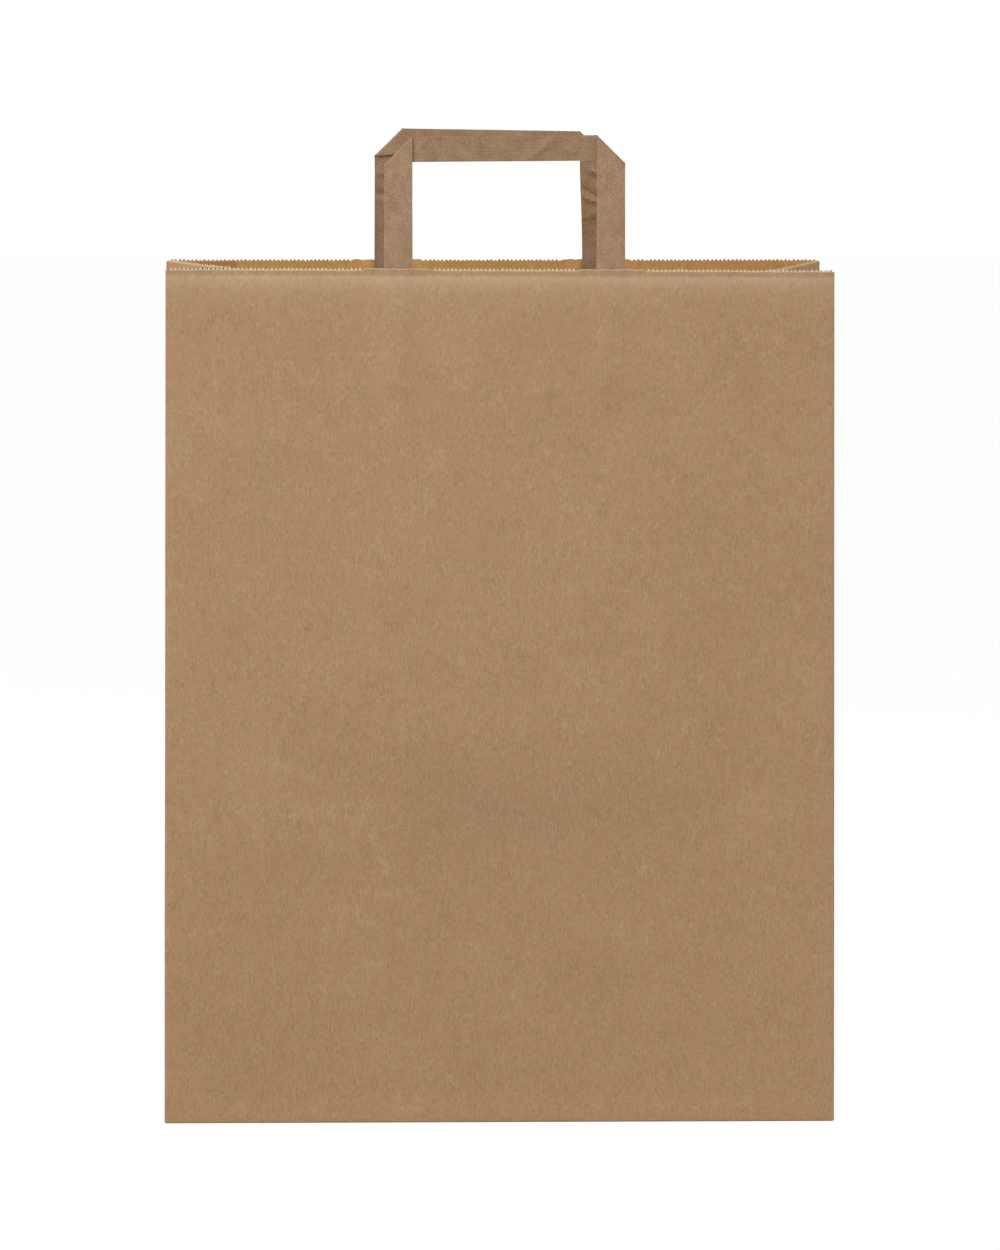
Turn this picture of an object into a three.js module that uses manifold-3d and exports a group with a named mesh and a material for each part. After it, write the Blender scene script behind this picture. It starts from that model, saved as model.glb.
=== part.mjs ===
// Paper carrier bag with folded tape handles, standing open on its block bottom.
// Millimetres, +Z up. The front panel faces -Y, and the origin is the middle of the foot, on the ground.
//
// The bag is one sheet: a tube of four panels with a tucked gusset at each side, closed by four base flaps.
// Each wall carries a handle, a flat paper tape folded over at two corners. Its legs are glued to the
// inside of the wall, under a paper patch.

import * as THREE from 'three';
import Module from 'manifold-3d';

const wasm = await Module();
wasm.setup();

// Bag sheet
const BAG_WIDTH = 320;
const BAG_DEPTH = 120;
const BAG_HEIGHT = 410; // up the sheet, from the foot to the slit stretches of the top edge
const GUSSET_TUCK = 33; // how far each gusset's middle fold is pushed in at the mouth
const APEX_TUCK = 4; // the same, at the point where the gusset's three folds meet
const PAPER = 0.15;
const BASE_FLAP = 80; // reach of a base flap from its own edge
const SEAM_LAP = 28; // width of the glued seam on the rear wall
const SEAM_INSET = 6; // from the seam to the nearest corner

// Pinked top edge
const TOOTH_PITCH = 2;
const TOOTH_DEPTH = 0.8;
const SLIT_RISE = 0.2; // the slit stretches stand this far above the tips of the teeth
const SLIT_MARGIN = 10; // slit edge to either side of a handle leg

// Handles
const HANDLE_SPAN = 115; // over the outer edges of the legs
const HANDLE_RISE = 65; // above the slit edge
const TAPE_WIDTH = 13.5;
const TAPE_THICKNESS = 0.7;
const LEG_GLUED = 57; // length of leg below the slit edge
const FRONT_HANDLE_OFFSET = 2; // off centre, to the right as seen from outside
const REAR_HANDLE_OFFSET = 0.5;

// Patches
const PATCH_WIDTH = 165;
const PATCH_HEIGHT = 53;
const PATCH_DROP = 7; // top of the patch below the slit edge
const PATCH_SLOPE = 2; // run of the slope where the patch climbs over a leg

const GLUE_GAP = 0.3; // between two pieces that are glued together
const FUSE = 0.02; // overlap of two plies that are fused into one solid

// Derived sizes
const gussetHalf = BAG_DEPTH / 2;
const halfWidth = BAG_WIDTH / 2;
const halfMouth = Math.sqrt(gussetHalf ** 2 - GUSSET_TUCK ** 2);
const wallLean = Math.asin((gussetHalf - halfMouth) / BAG_HEIGHT);
const apexHeight = gussetHalf;
const toothRoot = BAG_HEIGHT - SLIT_RISE - TOOTH_DEPTH;
const toothTip = BAG_HEIGHT - SLIT_RISE;
const legSpacing = HANDLE_SPAN - TAPE_WIDTH;

// Solids

// A solid from a list of triangles, each of three points.
function solidOf(triangles) {
  const numbers = new Map();
  const points = [];
  const numberOf = (point) => {
    const key = point.toArray().join();
    if (!numbers.has(key)) {
      numbers.set(key, points.length);
      points.push(point);
    }
    return numbers.get(key);
  };
  const triVerts = Uint32Array.from(triangles.flat().map(numberOf));
  const vertProperties = Float32Array.from(points.flatMap((point) => point.toArray()));
  return new wasm.Manifold(new wasm.Mesh({ numProp: 3, vertProperties, triVerts }));
}

// An outline in the XZ plane, made solid over a stretch of Y.
function slab(outline, yFrom, yTo) {
  const geometry = new THREE.ExtrudeGeometry(new THREE.Shape(outline), { depth: yTo - yFrom, bevelEnabled: false });
  geometry.rotateX(Math.PI / 2).translate(0, yTo, 0);
  return solidOf(trianglesOf(geometry));
}

// An outline in the XY plane, made solid over a stretch of Z.
function plate(outline, zFrom, zTo) {
  const geometry = new THREE.ExtrudeGeometry(new THREE.Shape(outline), { depth: zTo - zFrom, bevelEnabled: false });
  return solidOf(trianglesOf(geometry.translate(0, 0, zFrom)));
}

function trianglesOf(geometry) {
  const flat = geometry.index ? geometry.toNonIndexed() : geometry;
  const position = flat.getAttribute('position');
  const points = Array.from({ length: position.count }, (_, i) => new THREE.Vector3().fromBufferAttribute(position, i));
  return Array.from({ length: points.length / 3 }, (_, i) => points.slice(3 * i, 3 * i + 3));
}

function meshOf(name, solid, material) {
  const { numProp, numVert, vertProperties, triVerts } = solid.getMesh();
  const position = new Float32Array(numVert * 3);
  for (let i = 0; i < numVert; i++) position.set(vertProperties.subarray(i * numProp, i * numProp + 3), i * 3);
  const geometry = new THREE.BufferGeometry();
  geometry.setAttribute('position', new THREE.BufferAttribute(position, 3));
  geometry.setIndex(new THREE.BufferAttribute(triVerts, 1));
  geometry.computeVertexNormals();
  const mesh = new THREE.Mesh(geometry, material);
  mesh.name = name;
  return mesh;
}

const rectangle = (x0, y0, x1, y1) => [
  new THREE.Vector2(x0, y0),
  new THREE.Vector2(x1, y0),
  new THREE.Vector2(x1, y1),
  new THREE.Vector2(x0, y1),
];

// Folding the sheet

// A fold line, as a function from the height up the flat sheet to a point in space.
function foldLine(low, lowHeight, high, highHeight) {
  return (height) => {
    const share = (height - lowHeight) / (highHeight - lowHeight);
    return low.clone().multiplyScalar(1 - share).addScaledVector(high, share);
  };
}

// A panel between two fold lines. Its outline is in the flat sheet, seen from outside: across, then up.
function panel(outline, leftFold, rightFold, width) {
  const points = outline.map(({ x, y }) => {
    const share = x / width;
    return leftFold(y).multiplyScalar(1 - share).addScaledVector(rightFold(y), share);
  });
  const faces = THREE.ShapeUtils.triangulateShape(outline, []);
  return faces.map(([a, b, c]) => {
    const turn = (outline[b].x - outline[a].x) * (outline[c].y - outline[a].y)
      - (outline[c].x - outline[a].x) * (outline[b].y - outline[a].y);
    return turn > 0 ? [points[a], points[b], points[c]] : [points[a], points[c], points[b]];
  });
}

// The top edge of a panel from its left to its right: pinked teeth, with a straight slit around each leg.
function topEdge(width, legCentres) {
  const edge = [];
  const pink = (from, to) => {
    const count = Math.max(1, Math.round((to - from) / TOOTH_PITCH));
    const step = (to - from) / count;
    for (let i = 0; i < count; i++) {
      edge.push(new THREE.Vector2(from + i * step, toothRoot));
      edge.push(new THREE.Vector2(from + (i + 0.5) * step, toothTip));
    }
    edge.push(new THREE.Vector2(to, toothRoot));
  };
  const slitHalf = TAPE_WIDTH / 2 + SLIT_MARGIN;
  let from = 0;
  for (const centre of legCentres) {
    pink(from, centre - slitHalf);
    edge.push(new THREE.Vector2(centre - slitHalf, BAG_HEIGHT));
    edge.push(new THREE.Vector2(centre + slitHalf, BAG_HEIGHT));
    from = centre + slitHalf;
  }
  pink(from, width);
  return edge;
}

// Thickens an upright sheet inwards: each point moves so that every face that meets there moves in by one
// thickness. It moves level with the ground, so that the foot of the sheet stays flat.
function thicken(triangles, thickness) {
  const sameFace = Math.cos(THREE.MathUtils.degToRad(10));
  const keyOf = (point) => point.toArray().join();
  const normals = new Map();
  const halfEdges = new Map();
  for (const [a, b, c] of triangles) {
    const normal = new THREE.Triangle(a, b, c).getNormal(new THREE.Vector3());
    for (const point of [a, b, c]) {
      const known = normals.get(keyOf(point)) ?? [];
      if (known.every((other) => other.dot(normal) < sameFace)) known.push(normal);
      normals.set(keyOf(point), known);
    }
    for (const [from, to] of [[a, b], [b, c], [c, a]]) halfEdges.set(`${keyOf(from)}>${keyOf(to)}`, [from, to]);
  }
  const inner = (point) => {
    const [first, second] = normals.get(keyOf(point));
    const outward = first.clone();
    if (second) outward.add(second).divideScalar(1 + first.dot(second));
    return point.clone().addScaledVector(outward.setZ(0), -thickness);
  };
  const skin = triangles.map(([a, b, c]) => [inner(a), inner(c), inner(b)]);
  const rim = [];
  for (const [from, to] of halfEdges.values()) {
    if (halfEdges.has(`${keyOf(to)}>${keyOf(from)}`)) continue;
    rim.push([from, inner(from), to], [to, inner(from), inner(to)]);
  }
  return solidOf([...triangles, ...skin, ...rim]);
}

// The frame of a wall: X across and Z up the wall, Y into the bag, with the wall's outer face at Y = 0.
function wallFrame(turn) {
  const frame = new THREE.Group();
  frame.rotation.set(-wallLean, 0, turn, 'ZXY');
  frame.position.set(gussetHalf * Math.sin(turn), -gussetHalf * Math.cos(turn), 0);
  frame.updateMatrix();
  return frame;
}

const legCentresOf = (offset) => [halfWidth + offset - legSpacing / 2, halfWidth + offset + legSpacing / 2];

// Bag body

function bagTube() {
  const cornerFold = (signX, signY) => foldLine(
    new THREE.Vector3(signX * halfWidth, signY * gussetHalf, 0), 0,
    new THREE.Vector3(signX * halfWidth, signY * halfMouth, BAG_HEIGHT * Math.cos(wallLean)), BAG_HEIGHT,
  );
  const foldRun = BAG_HEIGHT - apexHeight;
  const apexZ = Math.sqrt(apexHeight ** 2 - APEX_TUCK ** 2);
  const foldTopZ = apexZ + Math.sqrt(foldRun ** 2 - (GUSSET_TUCK - APEX_TUCK) ** 2);
  const gussetFold = (signX) => foldLine(
    new THREE.Vector3(signX * (halfWidth - APEX_TUCK), 0, apexZ), apexHeight,
    new THREE.Vector3(signX * (halfWidth - GUSSET_TUCK), 0, foldTopZ), BAG_HEIGHT,
  );

  const wallOutline = (offset) => [
    new THREE.Vector2(0, 0),
    new THREE.Vector2(BAG_WIDTH, 0),
    ...topEdge(BAG_WIDTH, legCentresOf(offset)).reverse(),
  ];
  const gussetOutline = (leftFoot, rightFoot) => [
    new THREE.Vector2(0, leftFoot),
    new THREE.Vector2(gussetHalf, rightFoot),
    ...topEdge(gussetHalf, []).reverse(),
  ];

  const sides = [[1, -1], [-1, 1]].flatMap(([signX, signY]) => {
    const before = cornerFold(signX, signY);
    const middle = gussetFold(signX);
    const after = cornerFold(signX, -signY);
    const footMiddle = new THREE.Vector3(signX * halfWidth, 0, 0);
    return [
      ...panel(gussetOutline(0, apexHeight), before, middle, gussetHalf),
      ...panel(gussetOutline(apexHeight, 0), middle, after, gussetHalf),
      [before(0), footMiddle, middle(apexHeight)],
      [footMiddle, after(0), middle(apexHeight)],
    ];
  });
  return thicken([
    ...panel(wallOutline(FRONT_HANDLE_OFFSET), cornerFold(-1, -1), cornerFold(1, -1), BAG_WIDTH),
    ...panel(wallOutline(REAR_HANDLE_OFFSET), cornerFold(1, 1), cornerFold(-1, 1), BAG_WIDTH),
    ...sides,
  ], PAPER);
}

// The base flaps, from the inside out: one from each side, the front one, and the rear one over it.
function baseFlaps() {
  const x = halfWidth - PAPER / 2;
  const y = gussetHalf - PAPER / 2;
  const longFlap = (sign) => [
    new THREE.Vector2(-x, sign * y),
    new THREE.Vector2(x, sign * y),
    new THREE.Vector2(x - BASE_FLAP, sign * (y - BASE_FLAP)),
    new THREE.Vector2(-x + BASE_FLAP, sign * (y - BASE_FLAP)),
  ];
  return [
    plate(longFlap(1), 0, PAPER),
    plate(longFlap(-1), PAPER - FUSE, 2 * PAPER),
    plate(rectangle(-x, -y, -x + BASE_FLAP, y), 2 * PAPER - FUSE, 3 * PAPER),
    plate(rectangle(x - BASE_FLAP, -y, x, y), 2 * PAPER - FUSE, 3 * PAPER),
  ];
}

// The glued seam, a second ply inside the rear wall.
function seam(rearFrame) {
  const outer = halfWidth - SEAM_INSET;
  const ply = slab(rectangle(outer - SEAM_LAP, 2 * PAPER, outer, toothRoot - PAPER), PAPER - FUSE, 2 * PAPER);
  return ply.transform(rearFrame.matrix.elements);
}

// Handle

// Each leg ends in a 45 degree fold, and the grip runs on behind it, on the inner side.
function handle() {
  const outer = HANDLE_SPAN / 2;
  const inner = outer - TAPE_WIDTH;
  const top = BAG_HEIGHT + HANDLE_RISE;
  const foot = BAG_HEIGHT - LEG_GLUED;
  const legFace = PAPER + GLUE_GAP;
  const leg = (side) => slab([
    new THREE.Vector2(side * outer, foot),
    new THREE.Vector2(side * inner, foot),
    new THREE.Vector2(side * inner, top),
    new THREE.Vector2(side * outer, top - TAPE_WIDTH),
  ], legFace, legFace + TAPE_THICKNESS);
  const grip = slab([
    new THREE.Vector2(-outer, top - TAPE_WIDTH),
    new THREE.Vector2(outer, top - TAPE_WIDTH),
    new THREE.Vector2(inner, top),
    new THREE.Vector2(-inner, top),
  ], legFace + TAPE_THICKNESS - FUSE, legFace + 2 * TAPE_THICKNESS);
  return grip.add(leg(-1)).add(leg(1));
}

// Patch

// A strip of paper glued to the wall, which climbs over both legs.
function patch() {
  const low = PAPER + GLUE_GAP;
  const high = low + TAPE_THICKNESS + GLUE_GAP;
  const legEdge = TAPE_WIDTH / 2 + GLUE_GAP;
  const face = [[-PATCH_WIDTH / 2, low]];
  for (const centre of [-legSpacing / 2, legSpacing / 2]) {
    face.push([centre - legEdge - PATCH_SLOPE, low], [centre - legEdge, high]);
    face.push([centre + legEdge, high], [centre + legEdge + PATCH_SLOPE, low]);
  }
  face.push([PATCH_WIDTH / 2, low]);
  const back = face.map(([x, y]) => [x, y + PAPER]).reverse();
  const section = [...face, ...back].map(([x, y]) => new THREE.Vector2(x, y));
  const top = BAG_HEIGHT - PATCH_DROP;
  return plate(section, top - PATCH_HEIGHT, top);
}

// Assembly

const kraft = new THREE.MeshStandardMaterial({ color: 0xae8f6b, roughness: 0.82, metalness: 0 });
const ribbedTape = new THREE.MeshStandardMaterial({ color: 0x9f8064, roughness: 0.78, metalness: 0 });
const patchPaper = new THREE.MeshStandardMaterial({ color: 0xb08a5c, roughness: 0.85, metalness: 0 });

const frontFrame = wallFrame(0);
const rearFrame = wallFrame(Math.PI);

const bag = new THREE.Group();
const plies = [...baseFlaps(), seam(rearFrame)];
bag.add(meshOf('bag_body', plies.reduce((body, ply) => body.add(ply), bagTube()), kraft));

for (const [side, frame, offset] of [
  ['front', frontFrame, FRONT_HANDLE_OFFSET],
  ['rear', rearFrame, REAR_HANDLE_OFFSET],
]) {
  const handleMesh = meshOf(`${side}_handle`, handle(), ribbedTape);
  const patchMesh = meshOf(`${side}_handle_patch`, patch(), patchPaper);
  handleMesh.position.x = offset;
  patchMesh.position.x = offset;
  frame.add(handleMesh, patchMesh);
  bag.add(frame);
}

export default bag;
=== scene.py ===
# %% [markdown]
# # A paper carrier bag
# This lesson dresses a brown kraft carrier bag. The bag stands open on its block bottom: one sheet of
# paper is folded into a tube with a tucked gusset at each side, and two flat tape handles are glued
# inside its mouth. The solid model already gives every size and place. Here each piece is made again as
# the thin, slightly uneven paper that it is, and gets a material with fibres, flecks and ribs.

# %% Load the frame
import math

import bpy
import numpy as np
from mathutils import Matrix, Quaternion, Vector


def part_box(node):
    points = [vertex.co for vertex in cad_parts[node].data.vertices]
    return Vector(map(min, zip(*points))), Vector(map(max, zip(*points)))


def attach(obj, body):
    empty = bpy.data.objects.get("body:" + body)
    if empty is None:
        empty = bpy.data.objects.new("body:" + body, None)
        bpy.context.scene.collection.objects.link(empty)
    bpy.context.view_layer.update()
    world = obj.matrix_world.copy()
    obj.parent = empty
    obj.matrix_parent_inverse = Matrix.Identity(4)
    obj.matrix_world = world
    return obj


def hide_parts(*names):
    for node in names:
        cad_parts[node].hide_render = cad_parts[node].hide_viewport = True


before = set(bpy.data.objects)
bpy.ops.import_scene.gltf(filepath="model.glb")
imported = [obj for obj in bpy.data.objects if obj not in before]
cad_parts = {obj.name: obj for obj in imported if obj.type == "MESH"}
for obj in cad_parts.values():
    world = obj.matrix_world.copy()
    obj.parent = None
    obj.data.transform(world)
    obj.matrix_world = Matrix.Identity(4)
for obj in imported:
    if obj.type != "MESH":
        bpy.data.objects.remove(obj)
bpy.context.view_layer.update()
print("the frame holds", ", ".join(sorted(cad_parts)))

# %% [markdown]
# ## Sizes
# Paper is measured in millimetres, and Blender works in metres. Every size below is in millimetres, and
# a mesh is scaled once, when it is made. The outer sizes are read from the frame, so that the looks
# can't drift from it.

# %% Sizes of the folded sheet
MM = 0.001
body_low, body_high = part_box("bag_body")
WIDTH = (body_high.x - body_low.x) / MM
DEPTH = (body_high.y - body_low.y) / MM
RIM_Z = body_high.z / MM
PAPER = 0.15
GUSSET_TUCK = 33.0
APEX_TUCK = 4.0

HALF_WIDTH = WIDTH / 2
HALF_GUSSET = DEPTH / 2
HALF_MOUTH = math.sqrt(HALF_GUSSET**2 - GUSSET_TUCK**2)
LEAN = math.atan2(HALF_GUSSET - HALF_MOUTH, RIM_Z)
SHEET_HEIGHT = RIM_Z / math.cos(LEAN)
FOOT_SPREAD = 0.006
PANEL_EDGES = np.cumsum([0, WIDTH, HALF_GUSSET, HALF_GUSSET, WIDTH, HALF_GUSSET, HALF_GUSSET])
PERIMETER = PANEL_EDGES[-1]
REAR_START = PANEL_EDGES[3]
print(f"sheet {PERIMETER:.0f} mm round and {SHEET_HEIGHT:.1f} mm high")
print(f"walls lean {math.degrees(LEAN):.2f} degrees")

# %% [markdown]
# ## Node helper and colours
# A material is a small graph of nodes. One function adds a node, sets its properties and inputs, and
# links it. Colours are written as sRGB hex, the way a colour picker shows them, and one function makes
# them linear.

# %% Node helper
MIX_FACTOR, MIX_A, MIX_B, MIX_RESULT = 0, 6, 7, 2


def linear(hex_colour):
    """An sRGB hex colour as linear RGBA."""
    channels = [int(hex_colour[i : i + 2], 16) / 255 for i in (1, 3, 5)]
    return [c / 12.92 if c <= 0.04045 else ((c + 0.055) / 1.055) ** 2.4 for c in channels] + [1.0]


def add_node(tree, kind, settings=None, links=None):
    """Adds a node. A setting is a property of the node by name, or an input by name or number."""
    node = tree.nodes.new(kind)
    for key, value in (settings or {}).items():
        if isinstance(key, str) and hasattr(node, key):
            setattr(node, key, value)
        else:
            node.inputs[key].default_value = value
    for key, source in (links or {}).items():
        tree.links.new(source, node.inputs[key])
    return node


def new_material(name):
    """An empty node material, with its output node."""
    material = bpy.data.materials.new(name)
    material.use_nodes = True
    material.node_tree.nodes.clear()
    return material, add_node(material.node_tree, "ShaderNodeOutputMaterial")


def size_mapping(tree, across_mm, up_mm):
    """Object coordinates in units of a pattern's real size: across in X and Y, and up in Z."""
    place = add_node(tree, "ShaderNodeTexCoord")
    scale = (1 / (across_mm * MM), 1 / (across_mm * MM), 1 / (up_mm * MM))
    return add_node(tree, "ShaderNodeMapping", {"Scale": scale}, {"Vector": place.outputs["Object"]})


def weighted_sum(tree, terms):
    """The sum of each socket times its weight."""
    total = None
    for socket, weight in terms:
        links = {0: socket} if total is None else {0: socket, 2: total}
        settings = {"operation": "MULTIPLY_ADD", 1: weight, 2: 0.0}
        total = add_node(tree, "ShaderNodeMath", settings, links).outputs[0]
    return total


print("kraft brown #A58462 is linear", [round(c, 3) for c in linear("#A58462")[:3]])

# %% [markdown]
# ## Kraft paper
# Kraft is unbleached pulp paper. It has long brown fibres that lie along the web, which is upwards on
# this bag, cloudy patches where the pulp settled unevenly, and a few dark flecks of bark. A photograph
# of paper would be one way to show that. Here noise patterns at the real sizes do it, so that the paper
# has no seams or repeats. The fibres are finer than a picture of the whole bag can show, so they are
# drawn about twice as coarse.

# %% Kraft paper
FIBRE_WIDTH, FIBRE_LENGTH = 0.95, 2.3
GRAIN = 0.8
CLOUD_WIDTH, CLOUD_LENGTH = 5.0, 7.0
PATCH = 40.0
FLECK_SPACING, FLECK_LENGTH = 5.0, 10.0
NOISE_WEIGHTS = (0.46, 0.24, 0.16, 0.14)
TONE_PLACES = (0.32, 0.5, 0.68)
GLOSS_SPREAD = 0.08
# The pale colour of frayed fibres at the tooth tips, also used for a painted highlight band below each wall's
# rim.
FRAYED_EDGE_AND_PAINTED_HIGHLIGHT = "#F0E2C6"


def kraft_paper(name, tones, warm, fleck, roughness, fray_and_highlight_share):
    """Kraft paper from its dark, middle and light tone, a warmer tone for its clouds, and its flecks."""
    material, output = new_material(name)
    tree = material.node_tree

    along_web = size_mapping(tree, FIBRE_WIDTH, FIBRE_LENGTH).outputs[0]
    fibres = add_node(tree, "ShaderNodeTexNoise", {"Scale": 1.0, "Detail": 2.0}, {"Vector": along_web})
    even = size_mapping(tree, GRAIN, GRAIN).outputs[0]
    grain = add_node(tree, "ShaderNodeTexNoise", {"Scale": 1.0, "Detail": 1.0}, {"Vector": even})
    wide = size_mapping(tree, CLOUD_WIDTH, CLOUD_LENGTH).outputs[0]
    clouds = add_node(tree, "ShaderNodeTexNoise", {"Scale": 1.0, "Detail": 3.0}, {"Vector": wide})
    widest = size_mapping(tree, PATCH, PATCH).outputs[0]
    patches = add_node(tree, "ShaderNodeTexNoise", {"Scale": 1.0, "Detail": 2.0}, {"Vector": widest})

    noises = (fibres, grain, clouds, patches)
    terms = [(noise.outputs[0], weight) for noise, weight in zip(noises, NOISE_WEIGHTS)]
    ramp = add_node(tree, "ShaderNodeValToRGB", {}, {"Fac": weighted_sum(tree, terms)})
    ramp.color_ramp.elements.new(0.5)
    for element, place, colour in zip(ramp.color_ramp.elements, TONE_PLACES, tones):
        element.position = place
        element.color = linear(colour)

    hues = add_node(tree, "ShaderNodeSeparateColor", {}, {0: clouds.outputs["Color"]})
    warmth = add_node(
        tree, "ShaderNodeMapRange", {"From Min": 0.4, "From Max": 0.6, "To Max": 0.5}, {0: hues.outputs[1]}
    )
    warmed = add_node(
        tree,
        "ShaderNodeMix",
        {"data_type": "RGBA", MIX_B: linear(warm)},
        {MIX_FACTOR: warmth.outputs[0], MIX_A: ramp.outputs[0]},
    )

    scattered = size_mapping(tree, FLECK_SPACING, FLECK_LENGTH).outputs[0]
    cells = add_node(tree, "ShaderNodeTexVoronoi", {"Scale": 1.0}, {"Vector": scattered})
    chosen = add_node(tree, "ShaderNodeSeparateColor", {}, {0: cells.outputs["Color"]})
    spot = add_node(
        tree,
        "ShaderNodeMapRange",
        {"From Min": 0.03, "From Max": 0.12, "To Min": 1.0, "To Max": 0.0},
        {0: cells.outputs["Distance"]},
    )
    strength = add_node(
        tree, "ShaderNodeMapRange", {"From Min": 0.5, "From Max": 1.0, "To Max": 0.35}, {0: chosen.outputs[0]}
    )
    flecks = add_node(
        tree, "ShaderNodeMath", {"operation": "MULTIPLY"}, {0: spot.outputs[0], 1: strength.outputs[0]}
    )
    flecked = add_node(
        tree,
        "ShaderNodeMix",
        {"data_type": "RGBA", MIX_B: linear(fleck)},
        {MIX_FACTOR: flecks.outputs[0], MIX_A: warmed.outputs[MIX_RESULT]},
    )

    # Mixed towards the pale colour: frayed fibres at the tooth tips, and a painted highlight in a band below
    # each wall's rim.
    cut = add_node(tree, "ShaderNodeAttribute", {"attribute_name": "pale_fray_and_highlight_band"})
    fray_and_highlight_amount = add_node(
        tree, "ShaderNodeMath", {"operation": "MULTIPLY", 1: fray_and_highlight_share}, {0: cut.outputs["Fac"]}
    )
    fray_and_painted_highlight = add_node(
        tree,
        "ShaderNodeMix",
        {"data_type": "RGBA", MIX_B: linear(FRAYED_EDGE_AND_PAINTED_HIGHLIGHT)},
        {MIX_FACTOR: fray_and_highlight_amount.outputs[0], MIX_A: flecked.outputs[MIX_RESULT]},
    )

    height = weighted_sum(tree, [(fibres.outputs[0], 0.6), (grain.outputs[0], 0.4)])
    bump = add_node(tree, "ShaderNodeBump", {"Strength": 0.6, "Distance": 0.1 * MM}, {"Height": height})
    spread = {"To Min": roughness + GLOSS_SPREAD, "To Max": roughness - GLOSS_SPREAD}
    gloss = add_node(tree, "ShaderNodeMapRange", spread, {0: clouds.outputs[0]})
    shader = add_node(
        tree,
        "ShaderNodeBsdfPrincipled",
        {"IOR": 1.45, "Specular IOR Level": 0.3},
        {
            "Base Color": fray_and_painted_highlight.outputs[MIX_RESULT],
            "Roughness": gloss.outputs[0],
            "Normal": bump.outputs[0],
        },
    )
    tree.links.new(shader.outputs[0], output.inputs["Surface"])
    return material


kraft_outside = kraft_paper(
    "Kraft_paper_machine_finished", ("#94744F", "#A58562", "#B69675"), "#A98360", "#76573A", 0.74, 0.9
)
# The inner face is rougher than the outer one. Its lighter, oranger tones are painted light: they stand in
# for light that bounces between the walls inside the bag and shines through the paper.
kraft_inside_painted_bounce_light = kraft_paper(
    "Kraft_paper_rough_inner_face_painted_bounce_light", ("#B48851", "#C69A62", "#D8AD78"), "#CC985C", "#8A6237", 0.84, 0.0
)
kraft_cut_edge = kraft_paper(
    "Kraft_paper_cut_edge", ("#A98B64", "#BC9F78", "#CDB38E"), "#BC9C73", "#927250", 0.9, 0.6
)
# The lap paper is darker: painted shade, standing in for the light that two plies of paper let through less
# than one.
kraft_lap_painted_shade = kraft_paper(
    "Kraft_paper_glued_lap_painted_shade", ("#9A7250", "#AC845F", "#BE9772"), "#B0835E", "#7D5838", 0.84, 0.0
)
print("paper:", ", ".join(m.name for m in (kraft_outside, kraft_inside_painted_bounce_light, kraft_cut_edge, kraft_lap_painted_shade)))

# %% [markdown]
# ## Ribbed paper tape
# The handle is a tape of several plies of thin ribbed kraft, rolled flat and glued. The ribs run along
# the tape and are real relief, so they are in its mesh. The material adds the fine fibres and cloudy
# colour. The two faces differ: the face that shows on the legs is paler, and the one that shows on the
# grip is darker.

# %% Ribbed paper tape
TAPE_FIBRE = 0.7
TAPE_CLOUD = 6.0


def tape_paper(name, tones, roughness):
    """Ribbed kraft tape from its dark, middle and light tone."""
    material, output = new_material(name)
    tree = material.node_tree
    fine = size_mapping(tree, TAPE_FIBRE, TAPE_FIBRE).outputs[0]
    fibres = add_node(tree, "ShaderNodeTexNoise", {"Scale": 1.0, "Detail": 2.0}, {"Vector": fine})
    wide = size_mapping(tree, TAPE_CLOUD, TAPE_CLOUD).outputs[0]
    clouds = add_node(tree, "ShaderNodeTexNoise", {"Scale": 1.0, "Detail": 3.0}, {"Vector": wide})
    tone = weighted_sum(tree, [(fibres.outputs[0], 0.62), (clouds.outputs[0], 0.38)])
    ramp = add_node(tree, "ShaderNodeValToRGB", {}, {"Fac": tone})
    ramp.color_ramp.elements.new(0.5)
    for element, place, colour in zip(ramp.color_ramp.elements, (0.3, 0.5, 0.7), tones):
        element.position = place
        element.color = linear(colour)
    bump = add_node(
        tree, "ShaderNodeBump", {"Strength": 0.5, "Distance": 0.1 * MM}, {"Height": fibres.outputs[0]}
    )
    spread = {"To Min": roughness + GLOSS_SPREAD, "To Max": roughness - GLOSS_SPREAD}
    gloss = add_node(tree, "ShaderNodeMapRange", spread, {0: clouds.outputs[0]})
    shader = add_node(
        tree,
        "ShaderNodeBsdfPrincipled",
        {"IOR": 1.45, "Specular IOR Level": 0.3},
        {"Base Color": ramp.outputs[0], "Roughness": gloss.outputs[0], "Normal": bump.outputs[0]},
    )
    tree.links.new(shader.outputs[0], output.inputs["Surface"])
    return material


tape_grip_face = tape_paper("Ribbed_kraft_tape_grip_face", ("#7E6146", "#93765A", "#A78A6E"), 0.72)
tape_leg_face = tape_paper("Ribbed_kraft_tape_leg_face", ("#896B50", "#9D7E62", "#B09277"), 0.76)
tape_edge = tape_paper("Ribbed_kraft_tape_edge", ("#78593D", "#8C6C4F", "#A08063"), 0.8)
print("tape:", ", ".join(m.name for m in (tape_grip_face, tape_leg_face, tape_edge)))

# %% [markdown]
# ## The folded sheet
# On the real bag every panel is part of one sheet, and the creases are where it turns. So the sheet is
# described by two measures on the flat paper: how far round the tube, and how far up. One function
# folds such a point into space. A box with cut corners would be quicker, but it would have no gussets
# and no soft folds.


# %% Fold a flat point into space
def wall_point(side, x, up):
    """A point of the front wall (side -1) or the rear wall (side 1)."""
    x, up = np.broadcast_arrays(x, up)
    return np.stack([x, side * (HALF_GUSSET - up * math.sin(LEAN)), up * math.cos(LEAN)], -1)


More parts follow.
